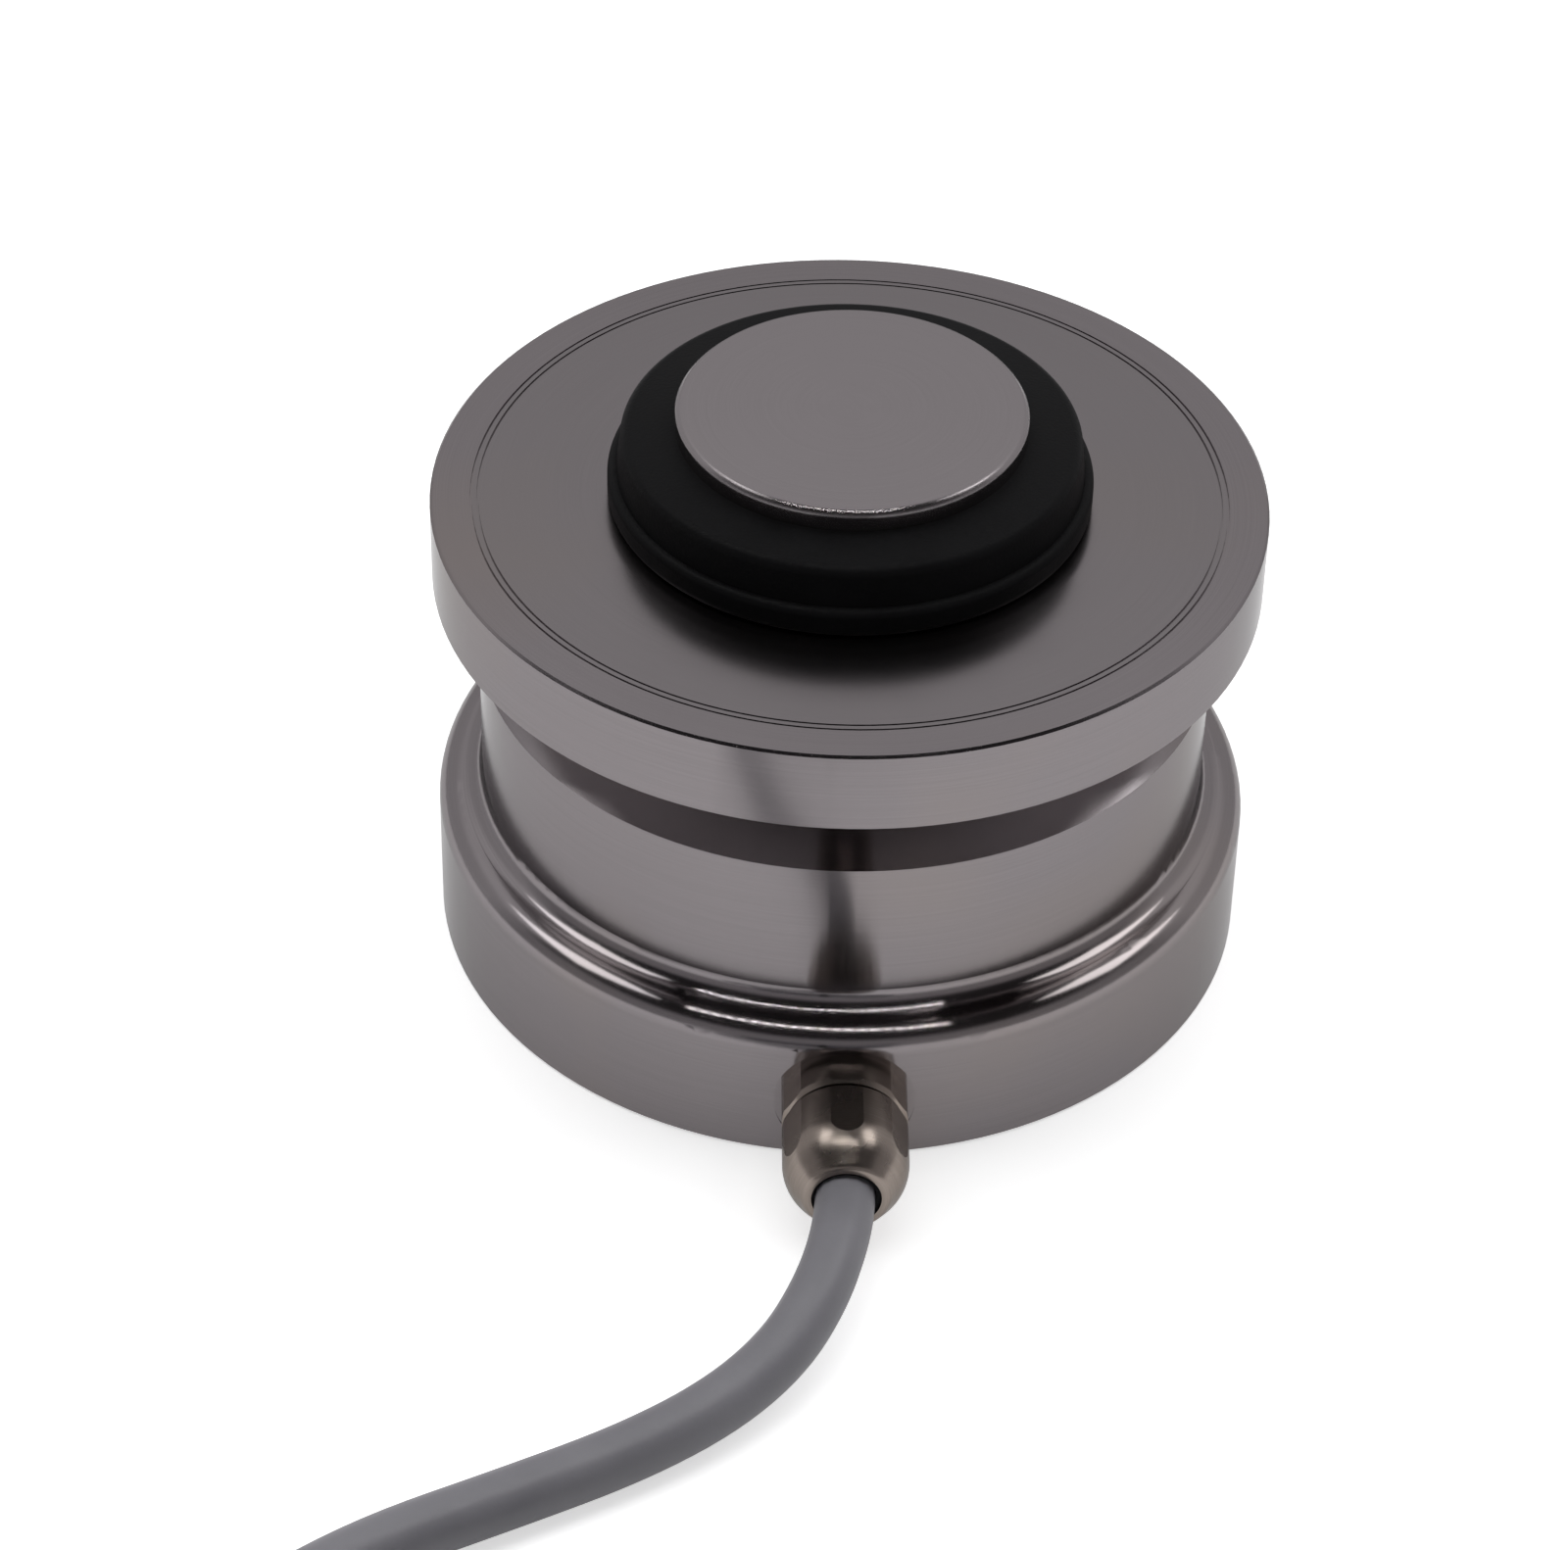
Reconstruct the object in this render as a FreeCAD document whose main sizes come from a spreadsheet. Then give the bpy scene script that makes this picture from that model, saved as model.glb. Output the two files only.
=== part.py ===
import FreeCAD, Part
import math
import os

import Sketcher

# Ring torsion load cell, in millimetres. Z is up, the axis of the ring is the Z axis,
# the foot stands on Z = 0 and the cable gland points along -Y.

os.makedirs("parts", exist_ok=True)
doc = FreeCAD.newDocument("LoadCell")
Vector = FreeCAD.Vector
UP = Vector(0, 0, 1)
ALONG_X = Vector(1, 0, 0)
GAUGES_PER_SIDE = 8
HEX_SIDES = 6
RESISTOR_TURNS = (35, 65, 115, 145)
TIE_TURNS = (85, 240)
CORE_SPREAD = 1.2  # distance of the cores from the cable's axis, in core radii
LEAD_SPREAD = 1.6  # distance between neighbouring leads where they leave the sleeve, in core radii
LEAD_LIFT = 1.4  # height of the outer leads over the sleeve's axis there, in core radii
RUN_SHARE = 0.45  # share of a run that the arc at its end takes
SAME_PLACE = 1e-4  # how near two lengths have to be to count as one
VOLUME_SHARE = 0.01  # how far a tube's volume may lie from its section times its length
OVERCUT = 1  # how far a cutting form starts or ends outside what it cuts


# Driving dimensions.

DIMENSIONS = {
    # measuring body, outside
    "body_radius": 50.0,
    "body_height": 61.4,
    "foot_edge_chamfer": 0.4,
    "ledge_height": 19.2,
    "ledge_edge_fillet": 2.9,
    "ledge_root_fillet": 2.4,
    "ledge_width": 5.4,
    "waist_top": 40.0,
    "neck_step": 5.1,
    "neck_slope_rise": 3.0,
    "neck_root_fillet": 1.2,
    "flange_thickness": 10.75,
    "flange_edge_chamfer": 0.3,
    # measuring body, inside
    "hub_bore_radius": 12.1,
    "neck_wall": 3.0,
    "ring_slot": 1.7,
    "ring_width": 6.1,
    "ring_bottom": 22.0,
    "ring_top": 38.0,
    "ring_web": 4.0,
    "board_shoulder_width": 1.5,
    "board_shoulder_height": 15.0,
    "riser_hole_radius": 1.6,
    "pilot_radius": 12.6,
    "pilot_depth": 20.0,
    # covers
    "cover_thickness": 1.6,
    "rim_width": 5.0,
    "cover_bore_gap": 1.05,
    "foot_width": 8.0,
    "bottom_cover_bore_radius": 16.0,
    "base_clearance": 0.8,
    "seam_width": 0.25,
    "seam_depth": 0.3,
    "seam_land": 0.55,
    # load button and its seals
    "button_radius": 20.9,
    "button_top": 73.6,
    "button_edge_chamfer": 0.5,
    "button_shank_length": 24.0,
    "shank_end_chamfer": 1.0,
    "button_fit": 0.1,
    "ring_seal_section": 1.0,
    "ring_seal_depth": 9.0,
    "collar_top_drop": 2.6,
    "collar_slope_drop": 0.8,
    "collar_waist_radius": 27.8,
    "collar_draft": 0.5,
    "collar_lip_overhang": 1.1,
    "collar_foot_tuck": 0.5,
    "collar_lip_height": 3.9,
    "collar_foot_height": 0.5,
    "collar_lip_fillet": 1.0,
    "collar_edge_fillet": 1.3,
    # strain gauges, board and wires inside
    "gauge_length": 4.6,
    "gauge_width": 6.0,
    "gauge_thickness": 0.2,
    "gauge_wire_radius": 0.35,
    "lower_wire_inset": 0.55,
    "board_thickness": 1.2,
    "board_hub_gap": 2.5,
    "post_radius": 0.6,
    "post_height": 1.5,
    "post_pitch": 4.0,
    "resistor_length": 3.2,
    "resistor_width": 1.6,
    "resistor_height": 1.1,
    "riser_wire_radius": 1.1,
    "core_radius": 0.8,
    # gland
    "gland_height": 8.5,
    "spot_face_radius": 8.4,
    "spot_face_depth": 0.7,
    "entry_thread_radius": 6.0,
    "entry_thread_depth": 6.4,
    "entry_passage_gap": 0.3,
    "thread_fit": 0.1,
    "gland_thread_length": 5.9,
    "hex_flats": 14.4,
    "hex_turning": 0.5,
    "hex_edge_chamfer": 0.5,
    "gland_hex_length": 4.6,
    "cup_wall": 0.9,
    "gland_neck_length": 5.9,
    "seal_wall": 1.2,
    "gland_cup_floor": 3.0,
    "nut_gap": 0.4,
    "nut_hex_length": 8.2,
    "nut_dome_length": 3.6,
    "nut_dome_fillet": 7.0,
    "nut_mouth_fillet": 1.2,
    "mouth_gap": 0.6,
    "nut_lip": 0.8,
    "clamp_length": 2.0,
    "seal_nose_inset": 0.4,
    "face_seal_section": 0.5,
    # cable and its coil
    "cable_radius": 3.5,
    "cable_inner_reach": 0.4,
    "turn_pitch": 7.1,
    "turns_across": 4.0,
    "layers_high": 4.0,
    "coil_mid_radius": 48.85,
    "coil_centre_x": -16.0,
    "coil_centre_y": -206.0,
    "coil_lead_in": 31.0,
    "tie_thickness": 0.9,
    "tie_width": 4.8,
    "tie_head": 6.5,
    "sleeve_thickness": 0.6,
    "sleeve_grip": 7.5,
    "sleeve_length": 16.0,
    "rest_gap": 0.05,
    "ferrule_radius": 1.1,
    "ferrule_length": 8.0,
}

sheet = doc.addObject("Spreadsheet::Sheet", "Dims")
for row, (alias, number) in enumerate(DIMENSIONS.items(), start=1):
    sheet.set(f"A{row}", alias.replace("_", " "))
    sheet.set(f"B{row}", str(number))
    sheet.setAlias(f"B{row}", alias)
doc.recompute()


class Size:
    """A length that knows its number and the sheet expression that gives it."""

    def __init__(self, value, text):
        self.value = value
        self.text = text

    def joined(self, other, sign, value):
        return Size(value, f"({self.text} {sign} {as_size(other).text})")

    def __add__(self, other):
        return self.joined(other, "+", self.value + as_size(other).value)

    def __sub__(self, other):
        return self.joined(other, "-", self.value - as_size(other).value)

    def __mul__(self, other):
        return self.joined(other, "*", self.value * as_size(other).value)

    def __truediv__(self, other):
        return self.joined(other, "/", self.value / as_size(other).value)

    def __neg__(self):
        return Size(-self.value, f"(-1 * {self.text})")


def as_size(number):
    return number if isinstance(number, Size) else Size(float(number), repr(float(number)))


class Dims:
    """Each dimension of the sheet as a Size, by its alias."""

    def __getattr__(self, alias):
        return Size(float(sheet.get(alias)), f"Dims.{alias}")


d = Dims()
ZERO = as_size(0)

# The body's inner forms follow its outside, from the rim and the neck inwards.
top_cover_radius = d.body_radius - d.rim_width
bottom_cover_radius = d.body_radius - d.foot_width
waist_radius = d.body_radius - d.ledge_width
neck_radius = waist_radius - d.neck_step
chamber_radius = neck_radius - d.neck_wall
board_shoulder_radius = chamber_radius + d.board_shoulder_width
ring_outer_radius = chamber_radius - d.ring_slot
ring_inner_radius = ring_outer_radius - d.ring_width
ring_middle = (ring_inner_radius + ring_outer_radius) / 2
hub_radius = ring_inner_radius - d.ring_slot
board_inner_radius = hub_radius + d.board_hub_gap
top_cover_bore_radius = d.button_radius + d.cover_bore_gap

# The gland sits on the body's side and closes round the cable.
spot_face_reach = d.body_radius - d.spot_face_depth
entry_passage_radius = d.cable_radius + d.entry_passage_gap
gland_cup_radius = d.cable_radius + d.seal_wall
gland_neck_radius = gland_cup_radius + d.cup_wall
nut_mouth_radius = d.cable_radius + d.mouth_gap
hex_corners = d.hex_flats + d.hex_turning
cable_inner_end = board_shoulder_radius - d.cable_inner_reach

# The collar's wall leans in above and is tucked in below its lip.
collar_top_radius = d.collar_waist_radius - d.collar_draft
collar_lip_radius = d.collar_waist_radius + d.collar_lip_overhang
collar_foot_radius = d.collar_waist_radius - d.collar_foot_tuck


# Helpers.

def bind(thing, prop, size):
    """Ties a property to the sheet."""
    thing.setExpression(prop, as_size(size).text)


def origin_plane(body, role):
    return next(f for f in body.Origin.OriginFeatures if f.Role == role)


def sketch_on(body, name, role="XZ_Plane", offset=None):
    """A sketch on a plane of the body's own origin, moved along the plane's normal."""
    sketch = body.newObject("Sketcher::SketchObject", name)
    sketch.AttachmentSupport = [(origin_plane(body, role), "")]
    sketch.MapMode = "FlatFace"
    if offset is not None:
        bind(sketch, ".AttachmentOffset.Base.z", offset)
    return sketch


def hold(sketch, kind, geometry, place, size):
    """Fixes one coordinate of a point of the sketch to the sheet."""
    number = sketch.addConstraint(Sketcher.Constraint(kind, -1, 1, geometry, place, size.value))
    bind(sketch, f"Constraints[{number}]", size)


def outline(sketch, points):
    """A closed polygon through points (across, up), each a pair of sizes."""
    points = [(as_size(a), as_size(b)) for a, b in points]
    ends = points[1:] + points[:1]
    lines = [
        Part.LineSegment(Vector(a.value, b.value, 0), Vector(c.value, e.value, 0))
        for (a, b), (c, e) in zip(points, ends)
    ]
    sketch.addGeometry(lines, False)
    for i, (across, up) in enumerate(points):
        following = (i + 1) % len(points)
        sketch.addConstraint(Sketcher.Constraint("Coincident", i, 2, following, 1))
        hold(sketch, "DistanceX", i, 1, across)
        hold(sketch, "DistanceY", i, 1, up)


def circle(sketch, across, up, radius):
    """A circle with its centre at (across, up)."""
    across, up = as_size(across), as_size(up)
    centre = Vector(across.value, up.value, 0)
    number = sketch.addGeometry(Part.Circle(centre, Vector(0, 0, 1), radius.value), False)
    hold(sketch, "DistanceX", number, 3, across)
    hold(sketch, "DistanceY", number, 3, up)
    size = sketch.addConstraint(Sketcher.Constraint("Radius", number, radius.value))
    bind(sketch, f"Constraints[{size}]", radius)


def new_body(label):
    body = doc.addObject("PartDesign::Body", label)
    body.Label = label
    return body


def spin(body, name, points, kind="PartDesign::Revolution"):
    """Adds or cuts a turned form whose half section is given as (radius, height)."""
    sketch = sketch_on(body, name + "_section")
    outline(sketch, points)
    feature = body.newObject(kind, name)
    feature.Profile = sketch
    feature.ReferenceAxis = (sketch, ["V_Axis"])
    feature.Angle = 360
    sketch.Visibility = False
    doc.recompute()
    return feature


def turned(label, points):
    """A body turned from one closed half section."""
    body = new_body(label)
    spin(body, label + "_blank", points)
    return body


def ring_edges(shape, radius, height):
    """The names of the circular edges about Z with that radius at that height."""
    return [
        f"Edge{i}"
        for i, edge in enumerate(shape.Edges, start=1)
        if isinstance(edge.Curve, Part.Circle)
        and abs(edge.Curve.Radius - radius.value) < SAME_PLACE
        and abs(edge.Curve.Center.z - height.value) < SAME_PLACE
        and abs(edge.Curve.Center.x) + abs(edge.Curve.Center.y) < SAME_PLACE
    ]


def soften(body, name, radius, height, size, kind="PartDesign::Fillet"):
    """Rounds or chamfers the circular edge at (radius, height)."""
    base = body.Tip
    feature = body.newObject(kind, name)
    feature.Base = (base, ring_edges(base.Shape, radius, height))
    prop = "Radius" if kind.endswith("Fillet") else "Size"
    bind(feature, prop, size)
    doc.recompute()
    return feature


def cut_through(body, name, sketch, length, reverse):
    """A pocket of that length, which has to take something away."""
    before = body.Shape.Volume
    pocket = body.newObject("PartDesign::Pocket", name)
    pocket.Profile = sketch
    pocket.Type = 0
    bind(pocket, "Length", length)
    pocket.Reversed = reverse
    sketch.Visibility = False
    doc.recompute()
    if body.Shape.Volume > before - SAME_PLACE:
        raise RuntimeError(f"{name} cuts nothing")
    return pocket


# Measuring body.

# The foot, the waist, the neck and the top flange are one turned piece. Inside, the hub
# hangs on the torsion ring, and the ring hangs on the outer wall, by two thin webs.
flange_bottom = d.body_height - d.flange_thickness
foot_recess = d.base_clearance + d.cover_thickness
cover_seat = d.body_height - d.cover_thickness

measuring_body = turned(
    "measuring_body",
    [
        (d.hub_bore_radius, foot_recess),
        (bottom_cover_radius, foot_recess),
        (bottom_cover_radius, ZERO),
        (d.body_radius, ZERO),
        (d.body_radius, d.ledge_height),
        (waist_radius, d.ledge_height),
        (waist_radius, d.waist_top),
        (neck_radius, d.waist_top + d.neck_slope_rise),
        (neck_radius, flange_bottom),
        (d.body_radius, flange_bottom),
        (d.body_radius, d.body_height),
        (top_cover_radius, d.body_height),
        (top_cover_radius, cover_seat),
        (d.hub_bore_radius, cover_seat),
    ],
)
soften(measuring_body, "ledge_edge", d.body_radius, d.ledge_height, d.ledge_edge_fillet)
soften(measuring_body, "ledge_root", waist_radius, d.ledge_height, d.ledge_root_fillet)
soften(measuring_body, "neck_root", neck_radius, flange_bottom, d.neck_root_fillet)
for name, height, size in (
    ("foot_edge", ZERO, d.foot_edge_chamfer),
    ("flange_lower_edge", flange_bottom, d.flange_edge_chamfer),
    ("flange_upper_edge", d.body_height, d.flange_edge_chamfer),
):
    soften(measuring_body, name, d.body_radius, height, size, "PartDesign::Chamfer")

# Upper chamber: open to the top, with the slot that frees the ring's outer side.
spin(
    measuring_body,
    "upper_chamber",
    [
        (hub_radius, cover_seat + OVERCUT),
        (hub_radius, d.ring_top),
        (ring_outer_radius, d.ring_top),
        (ring_outer_radius, d.ring_bottom + d.ring_web),
        (chamber_radius, d.ring_bottom + d.ring_web),
        (chamber_radius, cover_seat + OVERCUT),
    ],
    "PartDesign::Groove",
)
# Lower chamber: open to the foot, with the slot that frees the ring's inner side and the
# shoulder that carries the circuit board.
spin(
    measuring_body,
    "lower_chamber",
    [
        (hub_radius, foot_recess - OVERCUT),
        (board_shoulder_radius, foot_recess - OVERCUT),
        (board_shoulder_radius, d.board_shoulder_height),
        (chamber_radius, d.board_shoulder_height),
        (chamber_radius, d.ring_bottom),
        (ring_inner_radius, d.ring_bottom),
        (ring_inner_radius, d.ring_top - d.ring_web),
        (hub_radius, d.ring_top - d.ring_web),
    ],
    "PartDesign::Groove",
)
# The recess for a locating plug, under the hub.
spin(
    measuring_body,
    "pilot_recess",
    [
        (d.hub_bore_radius - OVERCUT, foot_recess - OVERCUT),
        (d.pilot_radius, foot_recess - OVERCUT),
        (d.pilot_radius, foot_recess + d.pilot_depth),
        (d.hub_bore_radius - OVERCUT, foot_recess + d.pilot_depth),
    ],
    "PartDesign::Groove",
)
# The fine line that the weld of the top cover leaves in the flange.
spin(
    measuring_body,
    "weld_line",
    [
        (top_cover_radius - d.seam_width, d.body_height - d.seam_depth),
        (top_cover_radius + d.seam_width, d.body_height - d.seam_depth),
        (top_cover_radius + d.seam_width, d.body_height + OVERCUT),
        (top_cover_radius - d.seam_width, d.body_height + OVERCUT),
    ],
    "PartDesign::Groove",
)

# The gland's seat on the foot: a flat, a threaded bore and a passage to the chamber.
entry_room = d.body_radius - spot_face_reach
spot = sketch_on(measuring_body, "spot_face_circle", offset=spot_face_reach)
circle(spot, ZERO, d.gland_height, d.spot_face_radius)
cut_through(measuring_body, "spot_face", spot, entry_room + OVERCUT, True)
bore = sketch_on(
    measuring_body, "entry_circle", offset=spot_face_reach - d.entry_thread_depth
)
circle(bore, ZERO, d.gland_height, d.entry_thread_radius)
cut_through(measuring_body, "entry_thread", bore, d.entry_thread_depth + OVERCUT, True)
passage = sketch_on(measuring_body, "passage_circle", offset=chamber_radius - OVERCUT)
circle(passage, ZERO, d.gland_height, entry_passage_radius)
cut_through(
    measuring_body,
    "entry_passage",
    passage,
    spot_face_reach - d.entry_thread_depth - chamber_radius + OVERCUT * 2,
    True,
)
# The hole that takes the gauge wires through the ring.
riser = sketch_on(measuring_body, "riser_circle", "XY_Plane", d.ring_bottom - OVERCUT)
circle(riser, ring_middle, ZERO, d.riser_hole_radius)
cut_through(measuring_body, "riser_hole", riser, d.ring_top - d.ring_bottom + OVERCUT * 2, True)


# Covers.

# Each cover closes its chamber between the hub and the outer wall. Near its rim the top
# cover has a fine groove, so that the weld stands as a light line between two dark ones.
top_cover = turned(
    "top_cover",
    [
        (top_cover_bore_radius, cover_seat),
        (top_cover_radius, cover_seat),
        (top_cover_radius, d.body_height),
        (top_cover_bore_radius, d.body_height),
    ],
)
seam_inside = top_cover_radius - d.seam_land
spin(
    top_cover,
    "seam_groove",
    [
        (seam_inside - d.seam_width, d.body_height - d.seam_depth),
        (seam_inside, d.body_height - d.seam_depth),
        (seam_inside, d.body_height + OVERCUT),
        (seam_inside - d.seam_width, d.body_height + OVERCUT),
    ],
    "PartDesign::Groove",
)
bottom_cover = turned(
    "bottom_cover",
    [
        (d.bottom_cover_bore_radius, d.base_clearance),
        (bottom_cover_radius, d.base_clearance),
        (bottom_cover_radius, foot_recess),
        (d.bottom_cover_bore_radius, foot_recess),
    ],
)


# Load button and seals.

shank_radius = d.hub_bore_radius - d.button_fit
shank_bottom = cover_seat - d.button_shank_length
ring_seal_height = cover_seat - d.ring_seal_depth
load_button = turned(
    "load_button",
    [
        (ZERO, shank_bottom),
        (shank_radius, shank_bottom),
        (shank_radius, cover_seat),
        (d.button_radius, cover_seat),
        (d.button_radius, d.button_top),
        (ZERO, d.button_top),
    ],
)
soften(
    load_button,
    "button_edge",
    d.button_radius,
    d.button_top,
    d.button_edge_chamfer,
    "PartDesign::Chamfer",
)
soften(
    load_button,
    "shank_end",
    shank_radius,
    shank_bottom,
    d.shank_end_chamfer,
    "PartDesign::Chamfer",
)
spin(
    load_button,
    "ring_seal_groove",
    [
        (d.hub_bore_radius - d.ring_seal_section * 2, ring_seal_height - d.ring_seal_section),
        (d.hub_bore_radius + OVERCUT, ring_seal_height - d.ring_seal_section),
        (d.hub_bore_radius + OVERCUT, ring_seal_height + d.ring_seal_section),
        (d.hub_bore_radius - d.ring_seal_section * 2, ring_seal_height + d.ring_seal_section),
    ],
    "PartDesign::Groove",
)


def torus(label, ring_radius, section, height):
    """A round ring about Z, such as a sealing ring."""
    ring = doc.addObject("Part::Torus", label)
    ring.Label = label
    bind(ring, "Radius1", ring_radius)
    bind(ring, "Radius2", section)
    bind(ring, "Placement.Base.z", height)
    return ring


torus("button_o_ring", d.hub_bore_radius - d.ring_seal_section, d.ring_seal_section, ring_seal_height)

# The rubber collar closes the gap round the button. Its top slopes outwards, and a rounded
# lip stands out just above the cover.
collar_inner_top = d.button_top - d.collar_top_drop
collar_outer_top = collar_inner_top - d.collar_slope_drop
lip_top = d.body_height + d.collar_lip_height
lip_bottom = d.body_height + d.collar_foot_height
rubber_collar = turned(
    "rubber_collar",
    [
        (d.button_radius, d.body_height),
        (collar_foot_radius, d.body_height),
        (collar_lip_radius, lip_bottom),
        (collar_lip_radius, lip_top),
        (d.collar_waist_radius, lip_top),
        (collar_top_radius, collar_outer_top),
        (d.button_radius, collar_inner_top),
    ],
)
soften(rubber_collar, "lip_upper", collar_lip_radius, lip_top, d.collar_lip_fillet)
soften(rubber_collar, "lip_lower", collar_lip_radius, lip_bottom, d.collar_lip_fillet)
soften(rubber_collar, "collar_edge", collar_top_radius, collar_outer_top, d.collar_edge_fillet)


# Gauges, board, wires.

def box(label, length, width, height, turn, radius, bottom):
    """A small block across the ring: its middle at that radius, turned about Z."""
    block = doc.addObject("Part::Box", label)
    bind(block, "Length", length)
    bind(block, "Width", width)
    bind(block, "Height", height)
    angle = math.radians(turn)
    out = radius - length / 2
    side = width / 2
    bind(block, "Placement.Base.x", out * math.cos(angle) + side * math.sin(angle))
    bind(block, "Placement.Base.y", out * math.sin(angle) - side * math.cos(angle))
    bind(block, "Placement.Base.z", bottom)
    block.Placement.Rotation = FreeCAD.Rotation(UP, turn)
    return block


def group(label, members):
    """Several separate solids of one kind under one name."""
    compound = doc.addObject("Part::Compound", label)
    compound.Label = label
    compound.Links = members
    return compound


gauge_turns = [360 * (i + 0.5) / GAUGES_PER_SIDE for i in range(GAUGES_PER_SIDE)]
for side, bottom in (("upper", d.ring_top), ("lower", d.ring_bottom - d.gauge_thickness)):
    group(
        f"{side}_strain_gauges",
        [
            box(
                f"{side}_gauge_{i}",
                d.gauge_length,
                d.gauge_width,
                d.gauge_thickness,
                turn,
                ring_middle,
                bottom,
            )
            for i, turn in enumerate(gauge_turns)
        ],
    )
upper_wire_bottom = d.ring_top + d.gauge_thickness
lower_wire_bottom = d.ring_bottom - d.gauge_thickness - d.gauge_wire_radius * 2
lower_wire_radius = ring_middle - d.riser_wire_radius - d.lower_wire_inset
for label, radius, bottom in (
    ("upper_gauge_wires", ring_middle, upper_wire_bottom),
    ("lower_gauge_wires", lower_wire_radius, lower_wire_bottom),
):
    inside, outside = radius - d.gauge_wire_radius, radius + d.gauge_wire_radius
    top = bottom + d.gauge_wire_radius * 2
    turned(label, [(inside, bottom), (outside, bottom), (outside, top), (inside, top)])


def rod(label, radius, length, across, along, bottom):
    """An upright round rod."""
    pin = doc.addObject("Part::Cylinder", label)
    pin.Label = label
    bind(pin, "Radius", radius)
    bind(pin, "Height", length)
    bind(pin, "Placement.Base.x", across)
    bind(pin, "Placement.Base.y", along)
    bind(pin, "Placement.Base.z", bottom)
    return pin


rod(
    "riser_wires",
    d.riser_wire_radius,
    d.ring_top + d.gauge_thickness - d.board_shoulder_height,
    ring_middle,
    ZERO,
    d.board_shoulder_height,
)

board_bottom = d.board_shoulder_height - d.board_thickness
turned(
    "circuit_board",
    [
        (board_inner_radius, board_bottom),
        (board_shoulder_radius, board_bottom),
        (board_shoulder_radius, d.board_shoulder_height),
        (board_inner_radius, d.board_shoulder_height),
    ],
)
group(
    "trim_resistors",
    [
        box(
            f"resistor_{i}",
            d.resistor_width,
            d.resistor_length,
            d.resistor_height,
            turn,
            ring_middle + d.resistor_width,
            board_bottom - d.resistor_height,
        )
        for i, turn in enumerate(RESISTOR_TURNS)
    ],
)
post_bottom = board_bottom - d.post_height
post_offsets = [d.post_pitch * (i - 1.5) for i in range(4)]
post_reach = ring_middle + d.post_radius * 2
group(
    "solder_posts",
    [
        rod(f"post_{i}", d.post_radius, d.post_height, x, -post_reach, post_bottom)
        for i, x in enumerate(post_offsets)
    ],
)


# Gland.

# The gland's pieces are turned about their own Z axis, which is then laid along -Y at the
# spot face. The hexagons are six flats milled on the round bar.


def along_gland(piece, forward=ZERO):
    """Lays a piece along the gland, that far out from the spot face."""
    piece.Placement = FreeCAD.Placement(Vector(0, 0, 0), FreeCAD.Rotation(ALONG_X, 90))
    bind(piece, "Placement.Base.y", -(spot_face_reach + forward))
    bind(piece, "Placement.Base.z", d.gland_height)
    return piece


def mill_hexagon(body, start, length):
    """Six flats, repeated about the body's axis."""
    half = d.hex_flats / 2
    mark = sketch_on(body, body.Label + "_flat", "XY_Plane", start)
    outline(
        mark,
        [
            (-hex_corners, half),
            (hex_corners, half),
            (hex_corners, hex_corners),
            (-hex_corners, hex_corners),
        ],
    )
    cut = cut_through(body, body.Label + "_first_flat", mark, length, True)
    pattern = body.newObject("PartDesign::PolarPattern", body.Label + "_hexagon")
    pattern.Originals = [cut]
    pattern.Axis = (origin_plane(body, "Z_Axis"), [""])
    pattern.Angle = 360
    pattern.Occurrences = HEX_SIDES
    body.Tip = pattern
    doc.recompute()


corner = hex_corners / 2
gland_neck_end = d.gland_hex_length + d.gland_neck_length
face_seal_outer = d.entry_thread_radius - d.thread_fit + d.face_seal_section * 2
gland_body = turned(
    "gland_body",
    [
        (entry_passage_radius, -d.gland_thread_length),
        (d.entry_thread_radius - d.thread_fit, -d.gland_thread_length),
        (d.entry_thread_radius - d.thread_fit, d.face_seal_section * 2),
        (face_seal_outer, d.face_seal_section * 2),
        (face_seal_outer, ZERO),
        (corner, ZERO),
        (corner, d.gland_hex_length),
        (gland_neck_radius, d.gland_hex_length),
        (gland_neck_radius, gland_neck_end),
        (gland_cup_radius, gland_neck_end),
        (gland_cup_radius, d.gland_cup_floor),
        (entry_passage_radius, d.gland_cup_floor),
    ],
)
soften(
    gland_body,
    "hex_corner_turning",
    corner,
    d.gland_hex_length,
    d.hex_edge_chamfer,
    "PartDesign::Chamfer",
)
mill_hexagon(gland_body, ZERO, d.gland_hex_length)
along_gland(gland_body)

gland_o_ring = torus(
    "gland_o_ring", face_seal_outer - d.face_seal_section, d.face_seal_section, ZERO
)
along_gland(gland_o_ring, d.face_seal_section)

nut_start = d.gland_hex_length + d.nut_gap
nut_hex_end = nut_start + d.nut_hex_length
mouth = nut_hex_end + d.nut_dome_length
clamp_end = gland_neck_end + d.clamp_length
nut_bore = gland_neck_radius + d.thread_fit
gland_nut = turned(
    "gland_nut",
    [
        (nut_bore, nut_start),
        (corner, nut_start),
        (corner, nut_hex_end),
        (nut_mouth_radius + d.nut_lip, mouth),
        (nut_mouth_radius, mouth),
        (nut_mouth_radius, clamp_end),
        (nut_bore, clamp_end),
    ],
)
soften(
    gland_nut, "nut_rear_turning", corner, nut_start, d.hex_edge_chamfer, "PartDesign::Chamfer"
)
soften(gland_nut, "nut_dome", corner, nut_hex_end, d.nut_dome_fillet)
soften(gland_nut, "nut_mouth_edge", nut_mouth_radius + d.nut_lip, mouth, d.nut_mouth_fillet)
mill_hexagon(gland_nut, nut_start, d.nut_hex_length)
along_gland(gland_nut)

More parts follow.
